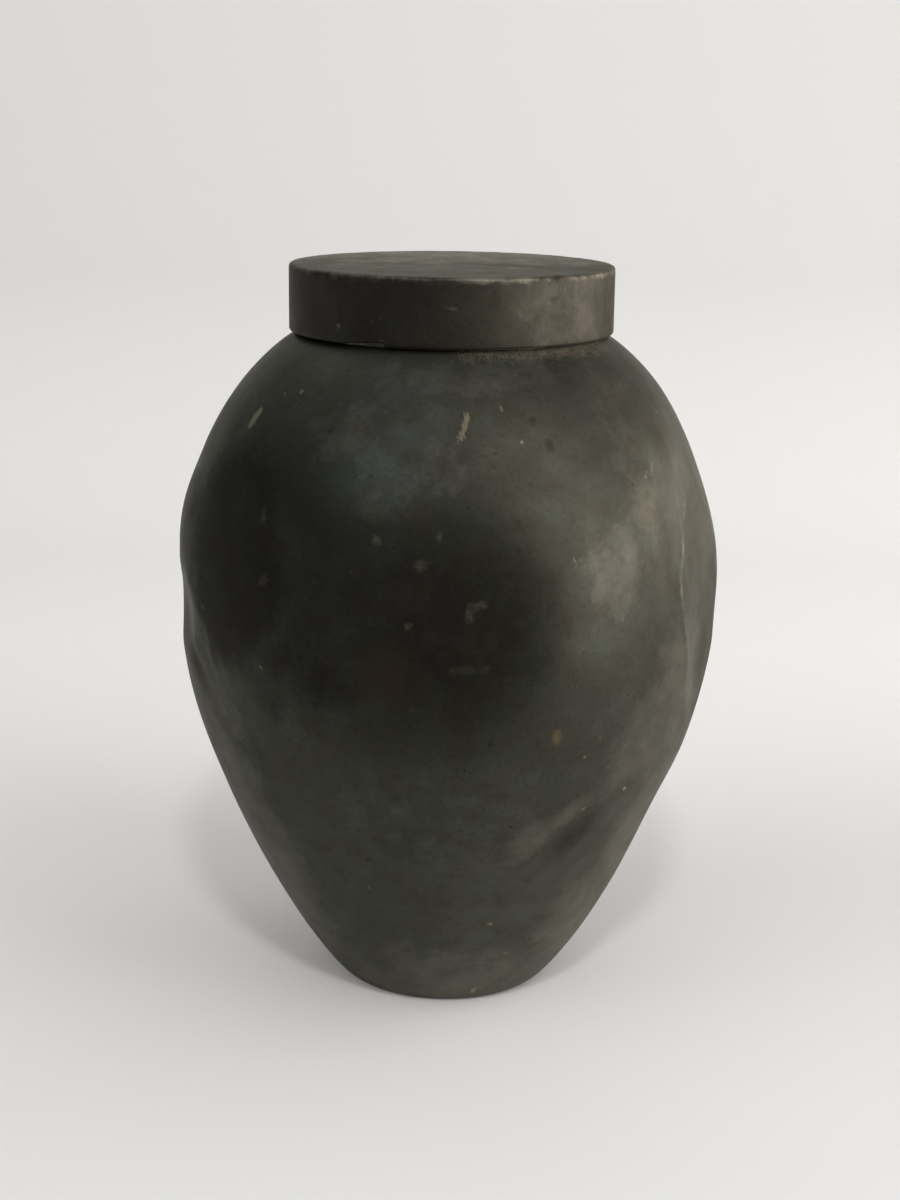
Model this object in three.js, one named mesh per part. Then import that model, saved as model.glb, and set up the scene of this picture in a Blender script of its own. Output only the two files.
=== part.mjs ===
// Tin tea caddy: an ovoid jar with a short neck, a plug-fitting inner lid and a flat cap lid.
// Millimetres, +Z up. The origin is on the axis, in the plane that the foot rim stands on.
// The front of the jar faces -Y. An azimuth is counted from the front towards +X, in degrees.

import * as THREE from 'three';

// Body outline: one curve from the foot to the girth and one from the girth to the mouth
const footRadius = 34.6;
const footAngle = 20;
const footRound = 8.5;
const girthRadius = 89.3;
const girthHeight = 134.3;
const fullnessBelow = 58;
const fullnessAbove = 52;
const mouthHeight = 218.4;
const mouthAngle = 28.5;
const mouthRound = 13.8;

// Body walls
const bodyWall = 2;
const footRimWidth = 5;
const basePlateThickness = 2;
const basePlateOverlap = 3.4;

// Neck, which both lids fit
const neckRadius = 49.4;
const neckWall = 2;
const neckHeight = 9.1;
const rimRound = 0.6;

// Cap lid
const lidClearance = 0.6;
const lidWall = 2.2;
const lidTopThickness = 2.2;
const lidHeadroom = 8;
const lidEdgeRound = 1.4;
const lidFootRound = 0.9;

// Inner lid
const plugClearance = 0.5;
const plugWall = 1.6;
const plugDepth = 12;
const plugTaper = 0.5;
const flangeInset = 0.8;
const flangeThickness = 2;
const flangeRound = 0.5;

// Knob of the inner lid
const knobHeadroom = 1.2;
const knobRadius = 6;
const knobWaist = 3.2;
const knobFootRadius = 5.4;
const knobFootThickness = 1.2;
const knobDomeShare = 1 / 2; // of the height above the foot of the knob
const knobFlareShare = 1 / 3; // of the height of the dome
const spigotRadius = 2.4;
const spigotClearance = 0.3;
const rivetProud = 0.5;

// Gap under a lid at rest
const seatGap = 0.3;

// Dents of the thin walls. azimuth and lean in degrees. rise is counted from the girth.
// halfWidth runs along the girth and halfHeight up the wall, both turned by lean.
// A negative depth is a bulge.
const dents = [
  { name: 'front hollow', azimuth: -4, rise: 3, halfWidth: 42, halfHeight: 50, depth: 2.6, lean: 0 },
  { name: 'upper front hollow', azimuth: -18, rise: 12, halfWidth: 48, halfHeight: 29, depth: 0.6, lean: 0 },
  { name: 'left hollow', azimuth: -48, rise: 20, halfWidth: 42, halfHeight: 34, depth: 2.2, lean: -5 },
  { name: 'front bulge', azimuth: 27, rise: 38, halfWidth: 35, halfHeight: 36, depth: -0.8, lean: 0 },
  { name: 'shoulder bulge', azimuth: -25, rise: 43, halfWidth: 55, halfHeight: 23, depth: -1.4, lean: -12 },
  { name: 'right lens', azimuth: 67, rise: 6, halfWidth: 17, halfHeight: 46, depth: 2.2, lean: 6 },
  { name: 'right kink', azimuth: 84, rise: -4, halfWidth: 13, halfHeight: 15, depth: 1.2, lean: 0 },
  { name: 'left notch', azimuth: -77, rise: -3, halfWidth: 26, halfHeight: 15.5, depth: 2.9, lean: 0 },
  { name: 'left bulge', azimuth: -82, rise: 27, halfWidth: 28, halfHeight: 18, depth: -1, lean: 0 },
  { name: 'low left bulge', azimuth: -80, rise: -35, halfWidth: 30, halfHeight: 31, depth: -0.6, lean: 0 },
  { name: 'left fold', azimuth: -55, rise: -26, halfWidth: 34, halfHeight: 11, depth: 1, lean: -38 },
  { name: 'low trough', azimuth: 54, rise: -71, halfWidth: 61, halfHeight: 30, depth: 2.5, lean: 0 },
  { name: 'low hollow', azimuth: 64, rise: -86, halfWidth: 60, halfHeight: 34, depth: 1, lean: 0 },
  { name: 'shoulder hollow', azimuth: 82, rise: 46, halfWidth: 30, halfHeight: 31, depth: 1.5, lean: 0 },
];

// Fineness
const stepsAround = 64;
const stepsBelow = 16;
const stepsAbove = 13;

// Sizes that follow from those above
const radians = Math.PI / 180;
const rimHeight = mouthHeight + neckHeight;
const neckBore = neckRadius - neckWall;
const flangeBottom = rimHeight + seatGap;
const flangeTop = flangeBottom + flangeThickness;
const lidUnderside = flangeTop + lidHeadroom;
const lidBottom = mouthHeight + seatGap;
const lidBore = neckRadius + lidClearance;
const lidRadius = lidBore + lidWall;
const footBore = footRadius - footRimWidth;

// Inner edge of the flat seam where the two halves of the body meet
const seamInside = [girthRadius - bodyWall, girthHeight];

const patina = { metalness: 0.9, roughness: 0.45 };

function piece(name, geometry, color, finish = patina) {
  const mesh = new THREE.Mesh(geometry, new THREE.MeshStandardMaterial({ color, ...finish }));
  mesh.name = name;
  return mesh;
}

// Turns a profile of [radius, height] points about +Z. The profile runs anticlockwise, seen with
// the radius to the right and the height up, and it closes on itself or starts and ends on the axis.
function turned(profile, closed = true) {
  const points = profile.map(([radius, height]) => new THREE.Vector2(radius, height));
  if (closed) points.push(points[0].clone());
  const geometry = new THREE.LatheGeometry(points, stepsAround);
  geometry.rotateX(Math.PI / 2);
  return geometry;
}

// Quarter of a circle as profile points, from one angle to another about a centre
function roundedCorner(radius, height, size, from, to, steps = 3) {
  return Array.from({ length: steps + 1 }, (_, i) => {
    const angle = (from + ((to - from) * i) / steps) * radians;
    return [radius + size * Math.cos(angle), height + size * Math.sin(angle)];
  });
}

// Outline of the body below the girth, from the foot upwards
function curveBelow() {
  const start = new THREE.Vector2(footRadius, 0);
  const turn = new THREE.Vector2(Math.cos(footAngle * radians), Math.sin(footAngle * radians));
  return new THREE.CubicBezierCurve(
    start,
    start.clone().addScaledVector(turn, footRound),
    new THREE.Vector2(girthRadius, girthHeight - fullnessBelow),
    new THREE.Vector2(girthRadius, girthHeight),
  );
}

// Outline of the body above the girth, up to the neck
function curveAbove() {
  const end = new THREE.Vector2(neckRadius, mouthHeight);
  const turn = new THREE.Vector2(Math.cos(mouthAngle * radians), -Math.sin(mouthAngle * radians));
  return new THREE.CubicBezierCurve(
    new THREE.Vector2(girthRadius, girthHeight),
    new THREE.Vector2(girthRadius, girthHeight + fullnessAbove),
    end.clone().addScaledVector(turn, mouthRound),
    end,
  );
}

// Points of a curve, moved inwards by a distance square to the curve
function outline(curve, steps, inwards = 0) {
  return Array.from({ length: steps + 1 }, (_, i) => {
    const point = curve.getPointAt(i / steps);
    const along = curve.getTangentAt(i / steps);
    return [point.x - along.y * inwards, point.y + along.x * inwards];
  });
}

// How far the dents push the wall in at one place
function dentDepth(azimuth, height) {
  let depth = 0;
  for (const dent of dents) {
    const turn = ((azimuth - dent.azimuth + 540) % 360) - 180;
    const along = turn * radians * girthRadius;
    const up = height - girthHeight - dent.rise;
    const cos = Math.cos(dent.lean * radians);
    const sin = Math.sin(dent.lean * radians);
    const across = (along * cos + up * sin) / dent.halfWidth;
    const over = (up * cos - along * sin) / dent.halfHeight;
    depth += dent.depth * Math.max(0, 1 - across ** 2 - over ** 2) ** 2;
  }
  return depth;
}

// Moves each point of a wall towards the axis. Both faces of the wall move alike.
function dented(geometry) {
  const place = geometry.attributes.position;
  for (let i = 0; i < place.count; i += 1) {
    const radius = Math.hypot(place.getX(i), place.getY(i));
    const azimuth = Math.atan2(place.getX(i), -place.getY(i)) / radians;
    const scale = 1 - dentDepth(azimuth, place.getZ(i)) / radius;
    place.setXY(i, place.getX(i) * scale, place.getY(i) * scale);
  }
  return geometry;
}

// Lower half of the body, open above, with a flange around the foot
function jarLower() {
  const outside = outline(curveBelow(), stepsBelow);
  const inside = outline(curveBelow(), stepsBelow, bodyWall).slice(0, -1).reverse();
  const floorHeight = inside.at(-1)[1];
  const flange = [[footBore, floorHeight], [footBore, 0]];
  return dented(turned([...outside, seamInside, ...inside, ...flange]));
}

// Disc that lies on the foot flange inside the jar
function basePlate() {
  const bottom = outline(curveBelow(), stepsBelow, bodyWall)[0][1];
  const top = bottom + basePlateThickness;
  const radius = footBore + basePlateOverlap;
  return turned([[0, bottom], [radius, bottom], [radius, top], [0, top]], false);
}

// Upper half of the body, with a flat seat for the neck around the mouth
function jarUpper() {
  const outside = outline(curveAbove(), stepsAbove);
  const inside = outline(curveAbove(), stepsAbove, bodyWall).slice(1).reverse();
  const lip = [[neckBore, mouthHeight], [neckBore, inside[0][1]]];
  return dented(turned([...outside, ...lip, ...inside, seamInside]));
}

// Upright collar on the mouth, with a rounded rim
function neckRing() {
  return turned([
    [neckBore, mouthHeight],
    [neckRadius, mouthHeight],
    ...roundedCorner(neckRadius - rimRound, rimHeight - rimRound, rimRound, 0, 90),
    ...roundedCorner(neckBore + rimRound, rimHeight - rimRound, rimRound, 90, 180),
  ]);
}

// Band of the cap lid, with its lower edge rounded by wear
function lidSkirt() {
  return turned([
    [lidBore, lidBottom],
    ...roundedCorner(lidRadius - lidFootRound, lidBottom + lidFootRound, lidFootRound, -90, 0),
    [lidRadius, lidUnderside],
    [lidBore, lidUnderside],
  ]);
}

// Disc on the band of the cap lid, rounded around its upper edge
function lidTop() {
  const top = lidUnderside + lidTopThickness;
  return turned([
    [0, lidUnderside],
    [lidRadius, lidUnderside],
    ...roundedCorner(lidRadius - lidEdgeRound, top - lidEdgeRound, lidEdgeRound, 0, 90),
    [0, top],
  ], false);
}

// Flange of the inner lid, with a hole for the knob's spigot
function innerLidPlate() {
  const hole = spigotRadius + spigotClearance;
  const radius = neckRadius - flangeInset;
  return turned([
    [hole, flangeBottom],
    [radius, flangeBottom],
    ...roundedCorner(radius - flangeRound, flangeTop - flangeRound, flangeRound, 0, 90),
    [hole, flangeTop],
  ]);
}

// Plug ring under the flange, tapered a little towards its open end
function innerLidSkirt() {
  const radius = neckBore - plugClearance;
  const bottom = flangeBottom - plugDepth;
  return turned([
    [radius - plugTaper - plugWall, bottom],
    [radius - plugTaper, bottom],
    [radius, flangeBottom],
    [radius - plugWall, flangeBottom],
  ]);
}

// Turned knob with a waist, on a spigot riveted through the flange
function innerLidKnob() {
  const top = lidUnderside - knobHeadroom;
  const footTop = flangeTop + knobFootThickness;
  const headRise = (top - footTop) * knobDomeShare;
  const headHeight = top - headRise;
  return turned([
    [0, flangeBottom - rivetProud],
    [spigotRadius, flangeBottom - rivetProud],
    [spigotRadius, flangeTop],
    [knobFootRadius, flangeTop],
    [knobFootRadius, footTop - knobFootThickness / 2],
    [knobWaist, footTop],
    [knobWaist, headHeight - headRise * knobFlareShare],
    [knobRadius, headHeight],
    ...roundedHead(knobRadius, headHeight, headRise),
  ], false);
}

// Domed head of the knob, a quarter of an ellipse that ends on the axis
function roundedHead(radius, height, rise, steps = 4) {
  return Array.from({ length: steps }, (_, i) => {
    const angle = (((i + 1) / steps) * Math.PI) / 2;
    const across = i + 1 < steps ? radius * Math.cos(angle) : 0;
    return [across, height + rise * Math.sin(angle)];
  });
}

const jar = new THREE.Group();
jar.add(
  piece('jar_lower', jarLower(), '#4a4943'),
  piece('base_plate', basePlate(), '#4a4943'),
  piece('jar_upper', jarUpper(), '#4f4e48'),
  piece('neck_ring', neckRing(), '#6d6b64', { metalness: 0.95, roughness: 0.35 }),
);

const innerLid = new THREE.Group();
innerLid.add(
  piece('inner_lid_plate', innerLidPlate(), '#8a8882', { metalness: 0.95, roughness: 0.35 }),
  piece('inner_lid_skirt', innerLidSkirt(), '#8a8882', { metalness: 0.95, roughness: 0.35 }),
  piece('inner_lid_knob', innerLidKnob(), '#94928c', { metalness: 0.95, roughness: 0.3 }),
);

const lid = new THREE.Group();
lid.add(
  piece('lid_skirt', lidSkirt(), '#45423c'),
  piece('lid_top', lidTop(), '#5a564d'),
);

const caddy = new THREE.Group();
caddy.add(jar, innerLid, lid);

export default caddy;
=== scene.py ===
"""Dresses the tin tea caddy: a cast and turned tin jar with a dark patina, dented walls and a
flat cap lid. Its sizes are read from the solids."""

import math

import bpy
import numpy as np
from mathutils import Euler, Matrix, Vector, noise

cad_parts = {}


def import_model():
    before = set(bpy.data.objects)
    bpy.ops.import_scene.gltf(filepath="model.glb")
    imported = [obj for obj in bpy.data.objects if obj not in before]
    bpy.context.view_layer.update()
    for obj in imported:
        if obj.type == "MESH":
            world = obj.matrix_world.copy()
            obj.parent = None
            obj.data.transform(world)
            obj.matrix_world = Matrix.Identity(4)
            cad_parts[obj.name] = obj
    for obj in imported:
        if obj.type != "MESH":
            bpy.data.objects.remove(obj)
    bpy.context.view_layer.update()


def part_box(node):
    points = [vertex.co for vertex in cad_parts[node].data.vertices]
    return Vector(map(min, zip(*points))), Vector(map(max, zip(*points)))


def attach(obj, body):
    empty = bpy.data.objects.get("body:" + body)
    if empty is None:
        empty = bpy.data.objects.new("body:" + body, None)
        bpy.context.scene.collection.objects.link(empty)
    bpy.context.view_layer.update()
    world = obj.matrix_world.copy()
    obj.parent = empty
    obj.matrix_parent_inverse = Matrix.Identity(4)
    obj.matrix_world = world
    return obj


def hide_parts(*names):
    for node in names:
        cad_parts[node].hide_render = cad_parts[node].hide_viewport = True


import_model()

MM = 0.001


def node_low(name):
    """The lowest corner of a solid's box."""
    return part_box(name)[0]


def node_high(name):
    """The highest corner of a solid's box."""
    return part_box(name)[1]


# Sizes read from the solids, in metres
GIRTH_RADIUS = max(node_high("jar_lower").x, -node_low("jar_lower").x)
GIRTH = node_high("jar_lower").z
MOUTH = node_high("jar_upper").z
RIM = node_high("neck_ring").z
NECK_RADIUS = node_high("neck_ring").x
LID_RADIUS = node_high("lid_skirt").x
LID_BOTTOM = node_low("lid_skirt").z
LID_SEAM = node_high("lid_skirt").z
LID_TOP = node_high("lid_top").z
FLOOR_DISC_RADIUS = node_high("base_plate").x
FLOOR_DISC_BOTTOM = node_low("base_plate").z
FLOOR_DISC_TOP = node_high("base_plate").z
FLANGE_RADIUS = node_high("inner_lid_plate").x
FLANGE_BOTTOM = node_low("inner_lid_plate").z
FLANGE_TOP = node_high("inner_lid_plate").z
PLUG_RADIUS = node_high("inner_lid_skirt").x
PLUG_BOTTOM = node_low("inner_lid_skirt").z
KNOB_RADIUS = node_high("inner_lid_knob").x
KNOB_BOTTOM = node_low("inner_lid_knob").z
KNOB_TOP = node_high("inner_lid_knob").z

# Handles of the two curves of the body's outline, and sizes that the boxes don't show
FOOT_RADIUS = 34.6 * MM
FOOT_ANGLE = math.radians(20)
FOOT_ROUND = 8.5 * MM
FULLNESS_BELOW = 58 * MM
FULLNESS_ABOVE = 52 * MM
MOUTH_ANGLE = math.radians(28.5)
MOUTH_ROUND = 13.8 * MM
BODY_WALL = 2 * MM
FOOT_RIM_WIDTH = 5 * MM
NECK_WALL = 2 * MM
LID_WALL = 2.2 * MM
PLUG_WALL = 1.6 * MM
PLUG_TAPER = 0.5 * MM
LID_EDGE = 1.0 * MM
LID_FOOT_EDGE = 0.9 * MM
KNOB_WAIST = 3.2 * MM
KNOB_FOOT = 5.4 * MM
KNOB_FOOT_THICKNESS = 1.2 * MM
SPIGOT_RADIUS = 2.4 * MM
SPIGOT_HOLE = 2.7 * MM
NECK_EDGE = 0.6 * MM
FLANGE_EDGE = 0.5 * MM
KNOB_DOME_SHARE = 1 / 2  # of the height above the knob's foot
KNOB_FLARE_SHARE = 1 / 3  # of the height of the dome

# Fineness of the meshes: points around the axis, and steps along the profiles
AROUND = 576
AROUND_SMALL = 192
AROUND_COARSE = 96
FINE_STEP = 1.25 * MM
COARSE_STEP = 6 * MM
CURVE_SAMPLES = 400
BAND_STEPS = 16
LID_TOP_STEPS = 40
KNOB_STEPS = 8
SAME_PLACE = 0.001 * MM

# Dents: azimuth from the front in degrees, rise from the girth, half width along the girth and
# half height in mm, depth in mm, lean in degrees, and crispness (2 is soft, 1 has a creased edge).
# A negative depth is a ridge. A positive lean turns the top of a dent to the left.
DENTS = (
    ("front hollow", -4, 3, 42, 50, 2.6, 0, 2),
    ("upper front hollow", -18, 12, 48, 29, 0.6, 0, 2),
    ("left hollow", -48, 20, 42, 34, 2.2, -5, 2),
    ("front bulge", 27, 38, 35, 36, -0.8, 0, 2),
    ("left shoulder bulge", -25, 43, 55, 23, -1.4, -12, 2),
    ("right lens", 67, 6, 17, 46, 2.2, 6, 1.15),
    ("right kink", 84, -4, 13, 15, 1.2, 0, 2),
    ("left notch", -77, -3, 26, 15.5, 2.9, 0, 2),
    ("left bulge", -82, 27, 28, 18, -1, 0, 2),
    ("low left bulge", -80, -35, 30, 31, -0.6, 0, 2),
    ("left fold", -55, -26, 34, 11, 1, -38, 1.3),
    ("low right trough", 54, -71, 61, 30, 2.5, 0, 2),
    ("low right hollow", 64, -86, 60, 34, 1, 0, 2),
    ("right shoulder hollow", 82, 46, 30, 31, 1.5, 0, 2),
    ("upper lens", 70, 24, 12, 17, 0.7, 8, 1.1),
    ("lower lens", 68, -15, 9, 12, 0.6, 8, 1.1),
    ("foot of the rim", 56.5, -4, 2.4, 14, -0.35, 16, 1.5),
    ("rim of the lens", 53.8, 11, 2.4, 13, -0.4, 4, 1.5),
    ("upper rim", 55.5, 23, 2.4, 11, -0.4, -18, 1.5),
    ("top of the rim", 60, 34.5, 2.2, 9, -0.3, -51, 1.5),
    ("valley beside the rim", 49, 14, 6, 30, 0.25, 3, 1.6),
    ("turned facet", -61, -8, 9, 6, 0.6, -40, 1.05),
    ("first ripple", -64, -19, 9, 4, 0.45, -44, 1.1),
    ("second ripple", -53, -14, 6, 3, 0.3, -60, 1.1),
    ("third ripple", -56, -33, 7, 4, 0.4, -35, 1.1),
    ("fourth ripple", -46, -24, 10, 5, 0.3, -20, 1.5),
    ("low right crease", 30, -62, 15, 7, 0.6, 24, 1.1),
    ("low left crease", -38, -78, 24, 9, 0.4, -42, 1.8),
)

# Noise that bends the outlines of the dents, and the slow and the quick waves of the wall
WARP_DEPTH = 2.6 * MM
WARP_LENGTH = 14 * MM
UNEVEN_DEPTH = 0.25 * MM
UNEVEN_LENGTH = 42 * MM
HAMMER_DEPTH = 0.1 * MM
HAMMER_LENGTH = 13 * MM
SEAT_MARGIN = 10 * MM  # over which the waves fade out towards the foot and the mouth

# Marks: kind, azimuth in degrees, height, width and length in mm, lean in degrees and strength.
# A positive lean turns the top of a mark to the right. The pale haze marks are painted highlights
# and reflections, and the dark marks are painted shade; chips, pits, stains, rust and rubs are the
# tin's own marks, though the rubs on the rim of the right lens are also a painted highlight.
MARK_KINDS = "painted_highlight", "rub", "dark", "stain", "rust", "pit", "chip"
BODY_MARKS = (
    # Painted shade: broad dark ovals that deepen the dark reflection on the front of the jar.
    ("dark", -51, 155, 60, 78, -12, 1.0),
    ("dark", 0, 144, 76, 70, -18, 0.55),
    ("dark", -30, 124, 52, 40, 0, 0.4),
    ("chip", -55.7, 195.7, 4.6, 8.5, 15, 1.0),
    ("chip", 3.9, 200.2, 2.6, 8.0, 22, 1.0),
    ("chip", 2.6, 196.4, 2.2, 5.0, 40, 0.9),
    ("chip", 14.7, 5.2, 5.2, 3.4, -15, 1.0),
    ("chip", 45.4, 83.1, 3.4, 1.5, -20, 1.0),
    ("chip", 33.2, 104.1, 1.5, 1.5, 0, 1.0),
    ("chip", 13.3, 203.3, 1.5, 1.5, 0, 0.8),
    ("chip", 25.0, 162.0, 2.2, 1.6, 0, 1.0),
    ("chip", 24.8, 152.2, 1.4, 1.4, 0, 0.8),
    ("chip", -49.5, 203.9, 1.5, 1.8, 0, 0.7),
    ("chip", 13.9, 38.0, 4.4, 1.5, 10, 0.8),
    ("stain", 22.6, 107.3, 4.2, 6.2, 0, 0.65),
    ("pit", 20.1, 199.6, 6.0, 3.4, -20, 0.7),
    ("pit", 23.4, 193.3, 5.0, 5.6, 0, 0.8),
    ("pit", -29.0, 196.1, 3.0, 3.0, 0, 0.6),
    ("pit", -18.9, 63.3, 3.0, 1.6, -30, 1.0),
    ("rub", -14.1, 167.2, 5.0, 6.4, 0, 1.0),
    ("rub", -1.9, 168.8, 3.4, 6.0, 10, 0.9),
    ("rub", -5.4, 160.6, 7.0, 4.4, -30, 0.8),
    ("rub", 4.5, 147.1, 5.0, 10.0, 20, 0.8),
    ("rub", -7.6, 142.3, 4.4, 4.4, 0, 0.7),
    ("rub", 6.9, 149.4, 4.4, 4.2, 0, 0.8),
    ("rub", -41.6, 170.2, 4.6, 7.6, -20, 0.8),
    ("rub", -39.9, 150.9, 7.6, 5.4, 0, 0.8),
    # Painted highlights: pale patches that break up the highlight on the right shoulder.
    ("painted_highlight", 31.0, 152.0, 12, 17, 20, 0.75),
    ("painted_highlight", 38.0, 162.0, 17, 14, 40, 0.75),
    ("painted_highlight", 35.0, 157.0, 38, 44, 35, 0.55),
    ("painted_highlight", 46.0, 172.0, 26, 30, 35, 0.5),
    ("painted_highlight", 41.0, 193.0, 34, 30, 0, 0.5),
    # Painted reflection: the bright lower right side and the band along the bottom.
    ("painted_highlight", 57.0, 108.0, 50, 90, 10, 1.0),
    ("painted_highlight", 48.0, 94.0, 50, 60, 0, 0.75),
    ("painted_highlight", 62.0, 60.0, 50, 80, 0, 1.0),
    ("painted_highlight", 50.0, 28.0, 80, 70, 0, 0.95),
    ("painted_highlight", 4.0, 4.0, 200, 60, 0, 1.0),
    # Painted light on the shoulder under the lid, where its shadow falls, and across the front.
    ("painted_highlight", 10.0, 213.0, 150, 18, 0, 0.5),
    ("painted_highlight", 46.0, 207.0, 56, 26, 0, 0.55),
    ("painted_highlight", -3.0, 188.0, 60, 24, 0, 0.42),
    # Painted shade that dims the highlight high on the right.
    ("dark", 57.0, 187.0, 14, 26, 20, 0.3),
    # Pale rubs along the rim of the right lens: rubbed patina, and a painted highlight that
    # sharpens the bright ridge.
    ("rub", 56.5, 130.0, 2.6, 20, -16, 1.0),
    ("rub", 53.8, 145.0, 2.6, 20, -4, 1.0),
    ("rub", 55.5, 157.5, 2.6, 16, 18, 1.0),
    ("rub", 60.0, 169.0, 2.2, 12, 51, 0.9),
    ("rust", -12.0, 128.0, 30, 34, 0, 0.55),
    ("rub", 51.0, 183.4, 8.0, 2.4, -45, 1.0),
    ("rub", 48.0, 182.0, 7.0, 2.0, -40, 1.0),
    ("rub", -59.6, 137.0, 5.0, 2.4, -15, 1.0),
    # Painted highlights on the front and on the left shoulder.
    ("painted_highlight", -3.9, 116.5, 16.0, 6.0, 8, 0.5),
    ("painted_highlight", 4.6, 130.1, 18.0, 5.0, -6, 0.5),
    ("painted_highlight", -26.0, 195.0, 40.0, 26.0, 12, 0.45),
    ("painted_highlight", -13.0, 178.0, 34.0, 20.0, 15, 0.42),
    # Painted highlight: the bright streak low on the right.
    ("painted_highlight", 20.5, 71.0, 19.0, 25.0, 45, 0.66),
    ("painted_highlight", 28.5, 78.0, 12.0, 36.0, 66, 0.6),
    # Painted shade beside the low right streak and over the lower front.
    ("dark", 32.5, 67.5, 14.0, 30.0, 50, 0.4),
    ("dark", -3.0, 80.0, 60.0, 34.0, 0, 0.22),
    # Painted reflection: the bright lower left side.
    ("painted_highlight", -58.0, 88.0, 44.0, 80.0, 0, 0.85),
    ("painted_highlight", -56.0, 44.0, 70.0, 90.0, 0, 1.05),
)
LID_MARKS = (
    ("rust", -42.5, 232.0, 5.0, 8.0, 10, 0.8),
    ("rust", -35.0, 228.0, 3.0, 3.0, 0, 0.6),
    ("rub", -27.9, 226.0, 5.0, 1.4, -25, 1.0),
    ("rub", -24.0, 227.5, 3.0, 1.2, -40, 0.8),
    ("rub", -0.3, 231.1, 7.0, 1.6, 15, 1.0),
    ("rub", -23.0, 220.8, 4.0, 2.2, 0, 1.0),
    # Painted highlight on the right of the lid.
    ("painted_highlight", 44.0, 231.0, 50.0, 50.0, 0, 0.5),
    # Painted shade on the right of the lid.
    ("dark", 70.0, 230.0, 34.0, 50.0, 0, 0.4),
    ("pit", 36.2, 233.0, 4.0, 3.0, 0, 0.8),
)

# Dust and mineral crust on the shoulder: azimuths in degrees, depth of the dust in mm
DUST_FROM = -2
DUST_TO = 78
DUST_DEPTH = 4.5
CRUST_FROM = 2
CRUST_TO = 72
CRUST_STEP = 2
CRUST_LOW = 215.3 * MM
CRUST_GRAINS_PER_MM2 = 0.8
CRUST_GRAIN = 0.17 * MM
CRUST_GRAIN_LEAST = 0.35, 0.35, 0.25
CRUST_GRAIN_MOST = 1.3, 1.3, 0.8
CRUST_SEED = 7

# Wear of the cap lid, and a painted highlight on its edge and top: azimuths in degrees. A ding has
# an azimuth, and a width and depth in mm.
DINGS = (
    (19, 1.6, 0.35),
    (37.3, 2.0, 0.5),
    (-31, 1.4, 0.25),
    (-8, 1.2, 0.2),
    (128, 2.0, 0.4),
    (-140, 1.6, 0.3),
)
EDGE_REACH = 2 * MM
EDGE_WAVES = 0.22 * MM
EDGE_WAVE_LENGTH = 3.5 * MM
WEAR_PATCHES = 3.5
# Where the edge carries a painted highlight: its azimuth in degrees, and how far it reaches.
PAINTED_HIGHLIGHT_AZIMUTH = 19
PAINTED_HIGHLIGHT_REACH = 14
NOTCH_FROM = -39
NOTCH_TO = -23
NOTCH_RISE = 1.3 * MM
NOTCH_REACH = 2.4 * MM
# How bright the edge is worn, with a painted highlight in the middle: everywhere, in patches, in
# the middle and on its waves
EDGE_WORN = 0.15
EDGE_WORN_PATCHES = 0.45
EDGE_PAINTED_HIGHLIGHT = 0.6
EDGE_WORN_WAVES = 0.1
# How bright the top is worn, and how much brighter its back is painted, as a painted highlight
TOP_WORN = 0.25
TOP_PAINTED_HIGHLIGHT_BACK = 0.45
TOP_REACH = 0.5 * MM

# Patina: how strongly each pattern shows, and its colour
PATINA_METAL = 0.6
MOTTLED = 0.7
SPECKLED = 0.36
SPECKLE_COLOUR = "#1d1a16"
RUBBED = 0.3
RUBBED_COLOUR = "#77736a"
MOTTLE_ROUGHER = 0.1
RUBBED_ROUGHER = -0.06
PATINA_TINT = "#b0b0a9"
BLOOM = 0.05  # a faint haze over the metal, seen at grazing angles
BLOOM_ROUGHNESS = 0.45
BLOOM_COLOUR = "#d8cdbd"

# Relief of the patina: how high each pattern stands in it
RELIEF = 0.4
RELIEF_DEPTH = 0.06 * MM
MOTTLE_RAISED = 0.8
SPECKLE_RAISED = -0.4
DULL_RAISED = 2.0

# Flecks: spacing in metres, size as a share of it, share of the places left bare, and colour
FLECKS = (
    (11 * MM, 0.085, 0.62, "#7a7565"),
    (7 * MM, 0.1, 0.66, "#1d1a16"),
)
FLECK_STRENGTH = 0.6
FLECK_BEND = 1.3 * MM
FLECK_BEND_LENGTH = 1.2 * MM

# Layers of marks over the patina, from the lowest: kind, how ragged in the large and in the small,
# the value at which it starts and at which it is full, strength, and colour. The dark layer is
# painted shade, the haze layer painted highlight, and the worn layer wear with a painted highlight.
MARK_LAYERS = (
    ("dark", 0.3, 0.2, 0.25, 0.76, 0.62, "#1f1b16"),
    ("painted_highlight", 0.5, 0.35, 0.7, 2.1, 0.85, "#716d64"),
    ("rub", 0.0, 1.0, 0.85, 1.7, 0.65, "#6f6b62"),
    ("stain", 0.0, 0.5, 0.3, 0.9, 0.7, "#6e5c3b"),
    ("rust", 0.3, 0.6, 0.7, 1.5, 0.65, "#4e3c31"),
    ("pit", 0.0, 0.5, 0.35, 0.9, 0.6, "#25211b"),
    ("chip", 0.0, 0.9, 0.6, 1.0, 0.68, "#827a62"),
    ("wear_and_highlight", 0.45, 0.5, 0.62, 1.35, 0.75, "#8d877b"),
    ("dust", 0.0, 0.8, 0.6, 1.4, 0.6, "#6b6355"),
)
# What the marks add to roughness and shine. Chips and dust are dull, and the painted shade of the
# dark marks is rougher and less glossy.
DULL_ROUGHER = 0.3
DARK_ROUGHER = 0.08
WORN_ROUGHER = -0.1
GLOSS = 0.5
DARK_GLOSS = -0.3

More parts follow.
